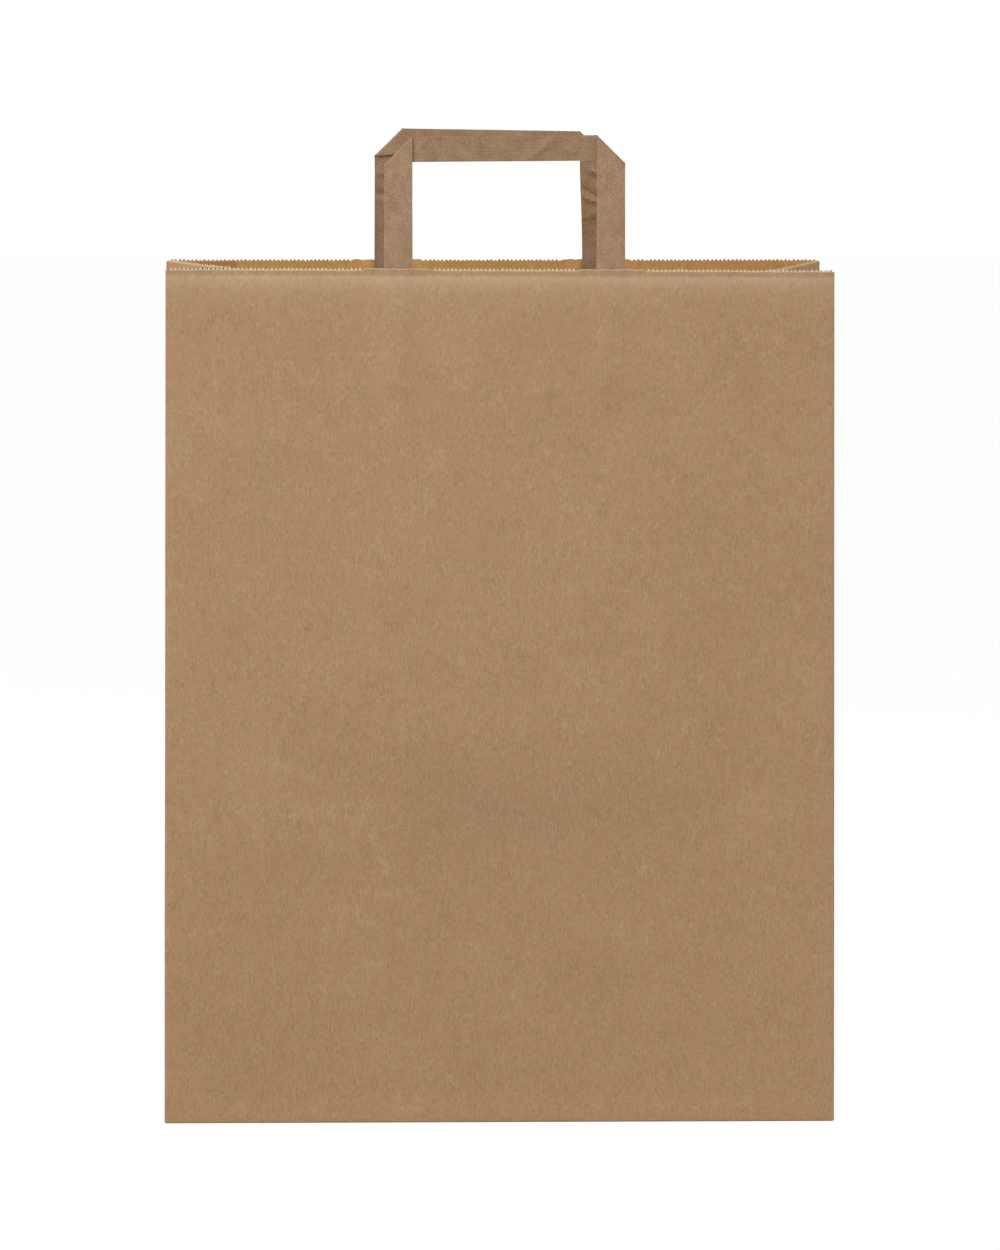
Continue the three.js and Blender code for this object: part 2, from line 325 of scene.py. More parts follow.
def gusset_point(hand, side, across, up):
    """A point of a half gusset, right (hand 1) or left (-1), from its corner fold to its middle fold."""
    share, up = np.broadcast_arrays(across / HALF_GUSSET, up)
    share = share[..., None]
    corner = wall_point(side, hand * HALF_WIDTH, up)
    apex_z = math.sqrt(HALF_GUSSET**2 - APEX_TUCK**2)
    fold_run = SHEET_HEIGHT - HALF_GUSSET
    fold_rise = math.sqrt(fold_run**2 - (GUSSET_TUCK - APEX_TUCK) ** 2)
    climb = (up - HALF_GUSSET) / fold_run
    tuck = APEX_TUCK + (GUSSET_TUCK - APEX_TUCK) * climb
    fold = np.stack([hand * (HALF_WIDTH - tuck), np.zeros_like(up), apex_z + climb * fold_rise], -1)
    upper = corner + (fold - corner) * share

    foot = wall_point(side, hand * HALF_WIDTH, 0.0)
    shoulder = wall_point(side, hand * HALF_WIDTH, HALF_GUSSET)
    apex = np.array([hand * (HALF_WIDTH - APEX_TUCK), 0, apex_z])
    middle = np.array([hand * HALF_WIDTH, 0, 0])
    rise = (up / HALF_GUSSET)[..., None]
    beside = foot + rise * (shoulder - foot) + share * (apex - shoulder)
    triangle = foot + share * (middle - foot) + rise * (apex - middle)
    low = np.where(rise >= share, beside, triangle)
    return np.where(up[..., None] >= HALF_GUSSET, upper, low)


def sharp_point(around, up):
    """A point of the tube with sharp folds. Below its foot the sheet turns in under the bag."""
    around = np.mod(around, PERIMETER)
    around, up = np.broadcast_arrays(around, up)
    high = np.maximum(up, 0.0)
    panel = np.searchsorted(PANEL_EDGES, around, side="right") - 1
    past = around - PANEL_EDGES[panel]
    choices = [
        wall_point(-1, past - HALF_WIDTH, high),
        gusset_point(1, -1, past, high),
        gusset_point(1, 1, HALF_GUSSET - past, high),
        wall_point(1, HALF_WIDTH - past, high),
        gusset_point(-1, 1, past, high),
        gusset_point(-1, -1, HALF_GUSSET - past, high),
    ]
    point = np.select([(panel == k)[..., None] for k in range(len(choices))], choices)
    under = np.maximum(-up, 0.0)[..., None]
    shrink = 1 - under / np.array([HALF_WIDTH, HALF_GUSSET, np.inf])
    spread = 1 + np.array([FOOT_SPREAD, 0, 0]) * (1 - point[..., 2:] / RIM_Z)
    return point * shrink * spread


print("front left corner at the mouth:", sharp_point(0.0, SHEET_HEIGHT).round(1))

# %% [markdown]
# ## Soft folds
# Paper never folds to a perfect edge. Near each fold the point is taken from a small curve between the
# two panels, so that the crease has a radius of about a millimetre and catches the light as a thin
# line.

# %% Round the folds
FOLD_REACH = 1.0


def curve_samples(value, folds, reach):
    """Three places and weights for each value: a quadratic curve near a fold, and itself elsewhere."""
    places = [value.copy(), value.copy(), value.copy()]
    weights = [np.ones_like(value), np.zeros_like(value), np.zeros_like(value)]
    for fold in folds:
        near = np.abs(value - fold) < reach
        share = (value[near] - fold + reach) / (2 * reach)
        for k, (offset, weight) in enumerate(
            [(-reach, (1 - share) ** 2), (0, 2 * share * (1 - share)), (reach, share**2)]
        ):
            places[k][near] = fold + offset
            weights[k][near] = weight
    return list(zip(places, weights))


def folded_point(around, up):
    """A point of the tube with soft folds at its corners, gussets and foot."""
    around, up = np.broadcast_arrays(np.asarray(around, float), np.asarray(up, float))
    total = 0.0
    for place_a, weight_a in curve_samples(around, PANEL_EDGES, FOLD_REACH):
        for place_u, weight_u in curve_samples(up, [0.0], FOLD_REACH):
            total = total + (weight_a * weight_u)[..., None] * sharp_point(place_a, place_u)
    return total


def folded_normal(around, up, step=0.3):
    """The outward direction of the folded sheet."""
    right = folded_point(around + step, up) - folded_point(around - step, up)
    upward = folded_point(around, up + step) - folded_point(around, up - step)
    normal = np.cross(right, upward)
    return normal / np.linalg.norm(normal, axis=-1, keepdims=True)


print("rounded corner at mid height:", folded_point(0.0, SHEET_HEIGHT / 2).round(2))

# %% [markdown]
# ## Relief of the walls
# The walls look flat, but light shows what they have been through. They bow a little, the glued legs
# stand out as soft ridges, the knife that pinked the edge has bent its top strip, and a faint line is
# left where the bag was once folded flat for packing. Most of it is a few tenths of a millimetre, and
# the belly of a wall a few millimetres, moved along the wall's own direction.

# %% Relief of the walls
front_low, front_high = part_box("front_handle")
rear_low, rear_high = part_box("rear_handle")
HANDLE_SPAN = (front_high.x - front_low.x) / MM
TAPE_WIDTH = 13.5
LEG_CENTRE = (HANDLE_SPAN - TAPE_WIDTH) / 2
FRONT_OFFSET = (front_high.x + front_low.x) / 2 / MM
REAR_OFFSET = -(rear_high.x + rear_low.x) / 2 / MM
SLIT_HALF = TAPE_WIDTH / 2 + 10
LEG_GLUED = 57.0
PATCH_WIDTH, PATCH_HEIGHT, PATCH_DROP = 165.0, 53.0, 7.0

FRONT_WALL = {
    "offset": FRONT_OFFSET,
    "wave_turn": 0.0,
    "cut": (0.45, -0.75),
    "shoulder": 1.3,
    "belly": (12.0, 82.0, 5.0),
    "bumps": [
        (-130.0, 367.0, 12.0, 14.0, 0.45),
        (-77.0, 345.0, 9.0, 12.0, 0.35),
        (78.0, 362.0, 9.0, 10.0, 0.30),
        (89.0, 392.0, 6.0, 7.0, -0.35),
        (-8.0, 172.0, 14.0, 16.0, 0.50),
    ],
    "creases": [
        (53.0, 342.0, -25.0, 8.0, 3.0, -0.45),
        (75.0, 318.0, -42.0, 32.0, 8.0, -0.60),
        (113.0, 270.0, -53.0, 50.0, 11.0, -0.70),
        (47.0, 347.0, -8.0, 9.0, 1.2, 0.22),
        (106.0, 189.0, 3.0, 45.0, 2.0, 0.16),
        (153.0, 392.0, 55.0, 5.0, 1.6, 0.30),
        (154.0, 368.0, 40.0, 5.0, 1.6, 0.22),
        (122.0, 346.0, 40.0, 6.0, 1.6, -0.20),
        (-40.0, 352.0, 12.0, 8.0, 1.5, 0.12),
    ],
}
REAR_WALL = {
    "offset": REAR_OFFSET,
    "wave_turn": 3.0,
    "cut": (-0.6, -0.6),
    "shoulder": 0.4,
    "belly": (-18.0, 90.0, 2.6),
    "bumps": [
        (118.0, 352.0, 13.0, 13.0, 0.40),
        (-84.0, 388.0, 7.0, 8.0, -0.30),
        (22.0, 150.0, 15.0, 18.0, 0.45),
    ],
    "creases": [
        (-56.0, 343.0, 22.0, 8.0, 3.0, -0.40),
        (-82.0, 310.0, 48.0, 36.0, 9.0, -0.60),
        (120.0, 380.0, -50.0, 6.0, 1.6, 0.25),
        (90.0, 232.0, 4.0, 40.0, 2.0, 0.15),
    ],
}

BELLY_LOW, BELLY_FULL = 112.0, 190.0
FOOT_TUCK, FOOT_TUCK_TOP = 1.0, 14.0
LEG_RIDGE = 0.9
PATCH_STEP = 0.10
CRIMP_DROP = 3.6
CRIMP_TILT = 0.12
SHOULDER_FADE = 5.0
SHOULDER_CORNER = 35.0
PRESSED_LINES = [(60.0, 0.12), (66.0, 0.08)]
WAVES = [
    (0.22, 150.0, 20.0, 0.4),
    (0.16, 95.0, -35.0, 2.1),
    (0.12, 62.0, 70.0, 4.4),
    (0.07, 38.0, -80.0, 1.3),
    (0.05, 27.0, 10.0, 5.2),
]


def soft_step(value, start, end):
    """0 before start, 1 after end, and a smooth rise between."""
    share = np.clip((value - start) / (end - start), 0, 1)
    return share * share * (3 - 2 * share)


def plateau(value, low, high, soft):
    """1 between low and high, with soft flanks."""
    return soft_step(value, low - soft, low + soft) * (1 - soft_step(value, high - soft, high + soft))


def waviness(x, up, turn):
    """Long shallow waves, each with its height, length, direction and start."""
    total = 0.0
    for height, length, direction, start in WAVES:
        angle = math.radians(direction + turn)
        along = x * math.cos(angle) + up * math.sin(angle)
        total = total + height * np.sin(2 * math.pi * along / length + start + turn)
    return total


def line_crease(x, y, crease):
    """A short sharp fold line: centre, direction in degrees, half length, width and height."""
    centre_x, centre_y, direction, reach, width, height = crease
    angle = math.radians(direction)
    along = (x - centre_x) * math.cos(angle) + (y - centre_y) * math.sin(angle)
    beside = (y - centre_y) * math.cos(angle) - (x - centre_x) * math.sin(angle)
    return height * np.exp(-np.abs(beside) / width) * np.exp(-((along / reach) ** 2))


def soft_bump(x, y, bump):
    """A soft round bump, or a dent with a negative height: centre, width, length and height."""
    centre_x, centre_y, width, length, height = bump
    return height * np.exp(-0.5 * (((x - centre_x) / width) ** 2 + ((y - centre_y) / length) ** 2))


def wall_relief(wall, x, up):
    """How far a wall stands out, at x across it as seen from outside."""
    offset = wall["offset"]
    below_rim = SHEET_HEIGHT + np.interp(x, (-HALF_WIDTH, HALF_WIDTH), wall["cut"]) - up
    inside_edges = soft_step(HALF_WIDTH - np.abs(x), 3, 40) * soft_step(up, 2, 45)
    patched = plateau(x, offset - PATCH_WIDTH / 2, offset + PATCH_WIDTH / 2, 1.5) * plateau(
        below_rim, PATCH_DROP, PATCH_DROP + PATCH_HEIGHT, 1.5
    )
    centre, reach, height = wall["belly"]
    belly = plateau(x, centre - reach, centre + reach, 40.0) * soft_step(up, BELLY_LOW, BELLY_FULL)
    relief = height * belly * (1 - soft_step(up, BELLY_FULL, SHEET_HEIGHT))
    relief = relief + waviness(x, up, wall["wave_turn"]) * inside_edges * (1 - 0.7 * patched)
    relief = relief + PATCH_STEP * patched
    tucked = soft_step(up, 0, FOOT_TUCK_TOP) * (1 - soft_step(up, 20, 90))
    relief = relief - FOOT_TUCK * tucked * soft_step(HALF_WIDTH - np.abs(x), 0, 30)
    slit = 0.0
    for leg in (offset - LEG_CENTRE, offset + LEG_CENTRE):
        ridge = plateau(x, leg - TAPE_WIDTH / 2, leg + TAPE_WIDTH / 2, 2.2)
        relief = relief + LEG_RIDGE * ridge * (1 - soft_step(below_rim, LEG_GLUED - 6, LEG_GLUED + 6))
        slit = slit + plateau(x, leg - SLIT_HALF, leg + SLIT_HALF, 2.0)
    shoulder = np.exp(-np.maximum(below_rim - CRIMP_DROP, 0) / SHOULDER_FADE)
    tilt = CRIMP_TILT * np.maximum(CRIMP_DROP - below_rim, 0) * (1 - slit)
    off_corner = soft_step(HALF_WIDTH - np.abs(x), 0, SHOULDER_CORNER)
    relief = relief - (wall["shoulder"] * shoulder + tilt) * off_corner
    for line, depth in PRESSED_LINES:
        fade = 0.35 + 0.65 * soft_step(-x, 20, 110)
        relief = relief - depth * fade * np.exp(-np.abs(up - line) / 0.9) * inside_edges
    for crease in wall["creases"]:
        relief = relief + line_crease(x, up, crease)
    for bump in wall["bumps"]:
        relief = relief + soft_bump(x, up, bump)
    return relief


print("relief in the middle of the front:", round(float(wall_relief(FRONT_WALL, 0.0, 200.0)), 2), "mm")

# %% [markdown]
# ## Relief of the gussets
# A gusset is held only by its folds, so its two halves swell a little between them.

# %% Relief of the whole sheet
GUSSET_SWELL = 1.0


def sheet_relief(around, up):
    """How far the folded sheet stands out, anywhere on it."""
    around = np.mod(around, PERIMETER)
    around, up = np.broadcast_arrays(around, up)
    panel = np.searchsorted(PANEL_EDGES, around, side="right") - 1
    past = around - PANEL_EDGES[panel]
    share = past / HALF_GUSSET
    free = np.sin(math.pi * np.clip(share, 0, 1)) * soft_step(up, 30, 120)
    gusset = free * (GUSSET_SWELL + 1.6 * waviness(past, up, 0.0) + 0.4 * panel * waviness(past, up, 40.0))
    front = wall_relief(FRONT_WALL, past - HALF_WIDTH, up)
    rear = wall_relief(REAR_WALL, past - HALF_WIDTH, up)
    return np.select([panel == 0, panel == 3], [front, rear], gusset)


def sheet_point(around, up, inward=0.0):
    """A point of the finished sheet, or that far inside it."""
    around, up = np.broadcast_arrays(np.asarray(around, float), np.asarray(up, float))
    rise = (sheet_relief(around, up) - inward)[..., None]
    return folded_point(around, up) + folded_normal(around, up) * rise


print("front wall leg at", (sheet_point(HALF_WIDTH + FRONT_OFFSET + LEG_CENTRE, 400.0)).round(2))

# %% [markdown]
# ## A mesh from rows of points
# A sheet is easiest to make as rows of points with faces between them. This small class keeps points,
# faces and one number for each point: how frayed the paper is there, and, in a band below each wall's
# rim, how much painted highlight it gets. The solid thickness comes from a Solidify modifier, which also
# knows which side is which, so that the two sides and the cut edge get their own material.


# %% Mesh builder
class Sheet:
    """Points and faces of a thin piece, in millimetres, before it gets its thickness."""

    def __init__(self):
        self.points = []
        self.faces = []
        self.fray_and_painted_highlight = []
        self.materials = {}

    def row(self, points, fray_and_painted_highlight=0.0):
        """Adds a row of points and returns their numbers."""
        points = np.asarray(points, float).reshape(-1, 3)
        first = len(self.points)
        self.points.extend(points.tolist())
        self.fray_and_painted_highlight.extend(np.broadcast_to(fray_and_painted_highlight, len(points)).tolist())
        return list(range(first, first + len(points)))

    def bridge(self, lower, upper, closed=False):
        """Four-sided faces between two rows of the same length."""
        count = len(lower)
        for i in range(count if closed else count - 1):
            j = (i + 1) % count
            self.faces.append([lower[i], lower[j], upper[j], upper[i]])

    def grid(self, rows, material=0):
        """A grid from equal rows, each given from left to right, upwards."""
        first = len(self.faces)
        numbers = [self.row(points) for points in rows]
        for lower, upper in zip(numbers, numbers[1:]):
            self.bridge(lower, upper)
        self.materials.update({face: material for face in range(first, len(self.faces))})


SHARP_ANGLE = math.radians(40)


def thick_object(name, sheet, materials, thickness, offset):
    """The sheet as an object with its thickness, smooth apart from its cut edges."""
    mesh = bpy.data.meshes.new(name)
    mesh.from_pydata((np.array(sheet.points) * MM).tolist(), [], sheet.faces)
    mesh.attributes.new("pale_fray_and_highlight_band", "FLOAT", "POINT").data.foreach_set("value", sheet.fray_and_painted_highlight)
    for material in materials:
        mesh.materials.append(material)
    mesh.polygons.foreach_set("material_index", [sheet.materials.get(k, 0) for k in range(len(sheet.faces))])
    piece = bpy.data.objects.new(name, mesh)
    bpy.context.scene.collection.objects.link(piece)
    solidify = piece.modifiers.new("thickness", "SOLIDIFY")
    solidify.thickness = thickness * MM
    solidify.offset = offset
    solidify.use_even_offset = True
    solidify.material_offset = 1
    solidify.material_offset_rim = 2
    thick = bpy.data.meshes.new_from_object(piece.evaluated_get(bpy.context.evaluated_depsgraph_get()))
    piece.modifiers.clear()
    piece.data = thick
    thick.name = name
    thick.shade_smooth()
    thick.set_sharp_from_angle(angle=SHARP_ANGLE)
    triangles = sum(len(face.vertices) - 2 for face in thick.polygons)
    print(f"{name}: {len(thick.vertices)} points, {triangles} triangles")
    return piece


# %% [markdown]
# ## The bag body
# The top edge was cut with a toothed knife, so it is pinked. The teeth need points two millimetres
# apart, but the rest of the wall doesn't, so only a narrow band under the edge is that fine, and one
# row of wider faces joins it to the wall. Round each handle leg the edge was slit straight beforehand,
# and the knife left it alone.

# %% Columns round the tube
TOOTH_PITCH, TOOTH_DEPTH = 2.0, 1.05
SLIT_DROP = 0.2
FOLD_COLUMNS = (0.0, 0.4, 0.9)
rng = np.random.default_rng(11)

fine_around = []
coarse_columns = []
for start, end in zip(PANEL_EDGES, PANEL_EDGES[1:]):
    teeth = round((end - start) / TOOTH_PITCH)
    for place in FOLD_COLUMNS:
        coarse_columns.append(len(fine_around))
        fine_around.append(start + place)
    for k in range(1, teeth):
        if k % 2 == 0:
            coarse_columns.append(len(fine_around))
        fine_around.append(start + (end - start) * k / teeth)
    for place in FOLD_COLUMNS[:0:-1]:
        coarse_columns.append(len(fine_around))
        fine_around.append(end - place)
fine_around = np.array(fine_around)
coarse_around = fine_around[coarse_columns]

front_legs = [HALF_WIDTH + FRONT_OFFSET + side * LEG_CENTRE for side in (-1, 1)]
rear_legs = [REAR_START + HALF_WIDTH + REAR_OFFSET + side * LEG_CENTRE for side in (-1, 1)]
slit_centres = np.array(front_legs + rear_legs)
slit = (np.abs(fine_around[:, None] - slit_centres) < SLIT_HALF).any(1)
ROOT = SHEET_HEIGHT - TOOTH_DEPTH
GUSSET_SAG = {"right": -3.2, "left": -0.7}
cut_drift = [
    FRONT_WALL["cut"][0],
    FRONT_WALL["cut"][1],
    GUSSET_SAG["right"],
    REAR_WALL["cut"][0],
    REAR_WALL["cut"][1],
    GUSSET_SAG["left"],
    FRONT_WALL["cut"][0],
]
drift = np.interp(fine_around, PANEL_EDGES, cut_drift)
ragged = np.where(slit, 0.14, 0.06) * rng.normal(0, 1, len(fine_around))
edge_height = np.where(slit, SHEET_HEIGHT - SLIT_DROP, ROOT) + drift + ragged
print(len(fine_around), "columns at the edge,", int(slit.sum()), "of them in the slits")
print(len(coarse_around), "columns in the walls")

# %% Rows of the tube
FOOT_ROWS = [-1.0, -0.6, -0.25, 0.1, 0.5, 1.0, 2.5]
ROW_STEP = 3.0
BAND_DROPS = [4.6, 3.9, 3.4, 3.0, 2.4, 1.7, 1.0, 0.45, 0.0]
BAND_FOOT = 403.0
FINE_ROWS = [58.6, 59.4, 60.6, 61.4, 64.6, 65.4, 66.6, 67.4]

# A painted highlight: a pale band on each wall's outer face, just below the strip that the knife bent, stands
# in for the light that the curled shoulder catches from above.
HIGHLIGHT_BAND, HIGHLIGHT_BAND_DROP, HIGHLIGHT_BAND_FADE = 0.15, 4.2, 5.0
WALL_PANELS = (0, 3)


def painted_highlight_band(around, up):
    """How much painted highlight a wall gets, in a pale band below the strip that the knife bent."""
    past = SHEET_HEIGHT - up - HIGHLIGHT_BAND_DROP
    on_wall = np.isin(np.searchsorted(PANEL_EDGES, around, side="right") - 1, WALL_PANELS)
    return HIGHLIGHT_BAND * on_wall * soft_step(past, -1.5, 0.5) * np.exp(-np.maximum(past, 0) / HIGHLIGHT_BAND_FADE)


wall_rows = np.unique(np.concatenate([FOOT_ROWS, np.arange(5.0, BAND_FOOT, ROW_STEP), FINE_ROWS]))
bag_sheet = Sheet()
lower = None
# Each wall point also gets its share of the painted highlight band below the rim.
for up in wall_rows:
    current = bag_sheet.row(sheet_point(coarse_around, up), painted_highlight_band(coarse_around, up))
    if lower:
        bag_sheet.bridge(lower, current, closed=True)
    lower = current

band = None
for drop in BAND_DROPS:
    height = edge_height - drop
    # The top row of the band is frayed, and the rows below it take the painted highlight.
    fray_and_painted_highlight = np.where(slit, 0.7, 0.35) if drop == 0.0 else painted_highlight_band(fine_around, height - drift)
    current = bag_sheet.row(sheet_point(fine_around, height), fray_and_painted_highlight)
    if band:
        bag_sheet.bridge(band, current, closed=True)
    else:
        ends = coarse_columns[1:] + [len(fine_around)]
        for k, (first, last) in enumerate(zip(coarse_columns, ends)):
            top = [current[i % len(current)] for i in range(last, first - 1, -1)]
            bag_sheet.faces.append([lower[k], lower[(k + 1) % len(lower)]] + top)
    band = current
print(len(wall_rows), "rows of wall and", len(BAND_DROPS), "rows of band")

# %% [markdown]
# Each tooth is one more triangle on the band's top row. The knife bends and tears the tips, so every
# tip is moved a little, and its fibres are pale.

# %% Pinked teeth
TIP_SPREAD = 0.12
tooth_count = 0
for i, start in enumerate(fine_around[:-1]):
    gap = fine_around[i + 1] - start
    if gap < TOOTH_PITCH * 0.9 or slit[i] or slit[i + 1]:
        continue
    jitter = rng.normal(0, TIP_SPREAD, 3)
    height = ROOT + drift[i] + TOOTH_DEPTH + jitter[1]
    tip = bag_sheet.row(sheet_point(start + gap / 2 + jitter[0], height, jitter[2]), 1.0)
    bag_sheet.faces.append([band[i], band[i + 1], tip[0]])
    tooth_count += 1
print(tooth_count, "teeth")

# %% [markdown]
# ## Seam and base flaps
# The tube is closed by a lap on the rear wall, and its foot by four flaps. Two side flaps are turned in
# first, then the front one, then the rear one over it, each cut back at 45 degrees at its ends. They
# are plies of the same sheet, so they are made as more grids in the same mesh, one paper thickness
# apart.

# %% Seam
SEAM_LAP, SEAM_INSET = 28.0, 6.0
PLY = PAPER + 0.02
LAP_SLOT = 3

seam_around = REAR_START + WIDTH - SEAM_INSET - np.linspace(SEAM_LAP, 0, 8)
seam_top = ROOT + REAR_WALL["cut"][1]
seam_rows = [up for up in wall_rows if up > FOLD_REACH] + [seam_top - drop for drop in BAND_DROPS]
# The lap's inner face takes the darker lap paper, which is painted shade.
bag_sheet.grid([sheet_point(seam_around, up, PLY) for up in seam_rows], LAP_SLOT)
print(f"seam {SEAM_LAP:.0f} mm wide")

# %% Base flaps
BASE_FLAP = 80.0
FLAP_WAVE = 0.12
FLAP_TUCK = 0.05
flap_x = HALF_WIDTH * (1 + FOOT_SPREAD) - FOLD_REACH + FLAP_TUCK
flap_y = HALF_GUSSET - FOLD_REACH + FLAP_TUCK


def flap_grid(outer, inner, level, columns=60, rows=16):
    """A base flap between its outer and inner edge, each given by its two ends, that many plies up."""
    across = np.linspace(0, 1, columns)[:, None]
    lines = []
    for share in np.linspace(0, 1, rows):
        left = np.array(outer[0]) * (1 - share) + np.array(inner[0]) * share
        right = np.array(outer[1]) * (1 - share) + np.array(inner[1]) * share
        flat = left * (1 - across) + right * across
        lift = FLAP_WAVE * share * (1 + np.sin(flat[:, 0] / 17 + level) * np.sin(flat[:, 1] / 13 + level)) / 2
        lines.append(np.column_stack([flat, level * PLY + lift]))
    return lines


for side, level in ((1, 0), (-1, 1)):
    outer = [(-side * flap_x, side * flap_y), (side * flap_x, side * flap_y)]
    inner_y = side * (flap_y - BASE_FLAP)
    inner = [(-side * (flap_x - BASE_FLAP), inner_y), (side * (flap_x - BASE_FLAP), inner_y)]
    bag_sheet.grid(flap_grid(outer, inner, level))
for hand in (-1, 1):
    outer = [(hand * flap_x, hand * flap_y), (hand * flap_x, -hand * flap_y)]
    inner = [(hand * (flap_x - BASE_FLAP), hand * flap_y), (hand * (flap_x - BASE_FLAP), -hand * flap_y)]
    bag_sheet.grid(flap_grid(outer, inner, 2))
print("base flaps reach", BASE_FLAP, "mm")

# %% Bag body piece
bag_papers = [kraft_outside, kraft_inside_painted_bounce_light, kraft_cut_edge, kraft_outside, kraft_lap_painted_shade, kraft_cut_edge]
bag_body = thick_object("bag_sheet", bag_sheet, bag_papers, PAPER, -1)
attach(bag_body, "root")
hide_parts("bag_body")

# %% [markdown]
# ## The handles
# A flat handle is one tape, folded over at 45 degrees at both top corners, so that the tape shows its
# other face on the grip. The tape is made flat, as a long strip along the grip, and then each end is
# turned down round the fold line. A strip with its rows slanted along the fold bends cleanly there.

# %% Fold a tape
TAPE_THICKNESS = 0.7
FOLD_RADIUS = 0.4
GLUE_GAP = 0.3
HANDLE_TOP = front_high.z / MM / math.cos(LEAN)
GRIP_Z = HANDLE_TOP - TAPE_WIDTH / 2
LEG_FOOT = SHEET_HEIGHT - LEG_GLUED
LEG_Y = PAPER + GLUE_GAP + TAPE_THICKNESS / 2
TURN = math.pi * FOLD_RADIUS
FOLD_LINE = LEG_CENTRE - TURN / math.sqrt(2)
HALF_LENGTH = GRIP_Z + LEG_CENTRE - LEG_FOOT
SLANT_RUN = 22.0
DIAGONAL = 1 / math.sqrt(2)


def folded_tape(along, across, relief):
    """Points of the tape in its wall's frame: X across the wall, Y into the bag, Z up the wall."""
    hand = np.sign(along)
    past = (np.abs(along) + across - FOLD_LINE) * DIAGONAL
    angle = np.clip(past / FOLD_RADIUS, 0, math.pi)
    reach = np.where(past <= 0, past, np.where(past < TURN, FOLD_RADIUS * np.sin(angle), TURN - past))
    shift = (reach - past - relief * np.sin(angle)) * DIAGONAL
    x = hand * (np.abs(along) + shift)
    z = GRIP_Z + across + shift
    y = LEG_Y + FOLD_RADIUS * (1 + np.cos(angle)) - relief * np.cos(angle)
    return np.stack([x, y, z], -1)


def wall_frame(points, turn):
    """Points of a wall's own frame, in the bag's frame: the front wall, or the rear one with turn -1."""
    x, y, z = np.moveaxis(points, -1, 0)
    out = y * math.cos(LEAN) + z * math.sin(LEAN) - HALF_GUSSET
    return np.stack([turn * x, turn * out, z * math.cos(LEAN) - y * math.sin(LEAN)], -1)


print(f"tape {2 * HALF_LENGTH:.0f} mm long, grip {HANDLE_TOP - SHEET_HEIGHT:.1f} mm above the edge")

# %% [markdown]
# ## Ribs and wrinkles
# The ribs run along the tape. On the grip they lie level and catch the light from above, and on the
# legs they stand upright and show much less, as on the real handle. They are really a little finer than
# this, but finer ribs would be lost in a picture of the whole bag. The wrinkles are where hands and
# packing have bent the tape.

# %% Ribs and wrinkles
RIB_PITCH = 1.15
RIB_HEIGHT = 0.07
LEG_RIB_SHARE = 0.35
TAPE_COLUMNS = 73
ALONG_STEP = 1.3
FRONT_WRINKLES = [
    (18.0, 0.0, 47.0, 11.0, 1.3, 0.75),
    (26.0, 2.5, 65.0, 8.0, 1.8, -0.60),
    (12.0, -4.5, 35.0, 5.0, 1.6, 0.45),
    (-40.0, 2.0, 45.0, 5.0, 0.8, 0.50),
    (-37.0, 3.0, 60.0, 5.0, 0.8, -0.35),
    (-3.0, -4.0, 75.0, 6.0, 1.5, 0.16),
    (-70.0, 1.0, 25.0, 7.0, 2.2, -0.30),
    (-81.0, -2.0, 60.0, 6.0, 2.2, 0.25),
    (92.0, 2.0, 80.0, 6.0, 2.0, 0.18),
]
REAR_WRINKLES = [
    (-64.0, 0.0, 68.0, 8.0, 1.2, 0.90),
    (-67.5, 0.0, 66.0, 8.0, 1.2, -0.80),
    (-76.0, 1.0, 60.0, 8.0, 1.2, -1.00),
    (-79.5, 1.0, 64.0, 8.0, 1.2, 1.10),
    (-86.0, -1.0, 112.0, 8.0, 1.4, 0.80),
    (66.4, 0.0, 90.0, 9.0, 1.2, 0.90),
    (77.0, 0.0, 86.0, 9.0, 1.2, -1.00),
    (12.0, 0.0, 70.0, 8.0, 2.0, 0.20),
]


def tape_relief(along, across, wrinkles, ribbed):
    """Ribs along the tape and wrinkles across it."""
    flat_margin = soft_step(TAPE_WIDTH / 2 - np.abs(across), 0.1, 0.8)
    worn = 1 - (1 - LEG_RIB_SHARE) * soft_step(np.abs(along), FOLD_LINE, FOLD_LINE + 6)
    ribs = RIB_HEIGHT * ribbed * worn * np.cos(2 * math.pi * across / RIB_PITCH) * flat_margin
    ease = soft_step(np.abs(np.abs(along) - LEG_CENTRE), 7, 14) * (1 - soft_step(np.abs(along), 94, 107))
    bends = sum(line_crease(along, across, wrinkle) for wrinkle in wrinkles)
    drift = 0.12 * np.sin(along / 13 + 1) + 0.08 * np.sin(along / 7 + across / 5)
    return ribs + (bends + drift) * ease


